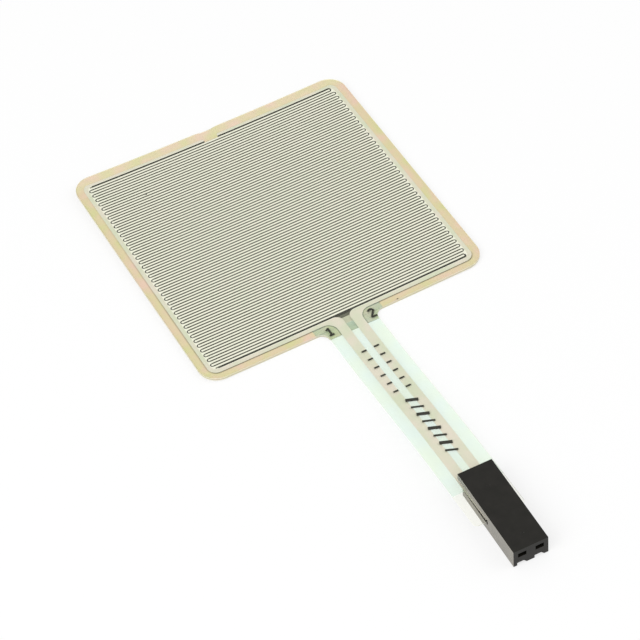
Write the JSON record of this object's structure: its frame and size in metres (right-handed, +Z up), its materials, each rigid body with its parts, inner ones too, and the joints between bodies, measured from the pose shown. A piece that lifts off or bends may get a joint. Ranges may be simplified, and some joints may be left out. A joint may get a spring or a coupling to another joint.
{
  "type": "force sensing resistor",
  "caption": "Square pressure-sensing film pad with interleaved silver combs over carbon, a flat flexible tail and a crimped socket connector.",
  "frame": {"origin": "middle of the pad on its underside, the face that is stuck down", "axes": "+Z up out of the pad's front film, -Y along the tail towards the connector, +X to the right lead"},
  "size_m": [0.0436, 0.0908, 0.0031],
  "materials": {
    "release_liner": "matt siliconised paper",
    "mounting_adhesive": "soft pressure-sensitive adhesive",
    "rear_film": "clear polyester film",
    "carbon_layer": "screen-printed carbon ink",
    "spacer": "die-cut tan adhesive",
    "silver_print": "screen-printed silver ink",
    "front_film": "clear polyester film",
    "tail_coat": "green-tinted clear cover coat",
    "connector_housing": "moulded black polyester",
    "contact_metal": "stamped and plated phosphor bronze"
  },
  "bodies": {
    "root": {"release_liner": "release_liner", "mounting_adhesive": "mounting_adhesive", "rear_film": "rear_film", "carbon_layer": "carbon_layer", "spacer": "spacer", "left_comb": "silver_print", "right_comb": "silver_print", "front_film": "front_film", "tail_coat": "tail_coat", "connector_housing": "connector_housing", "left_contact": "contact_metal", "right_contact": "contact_metal"}
  },
  "joints": []
}
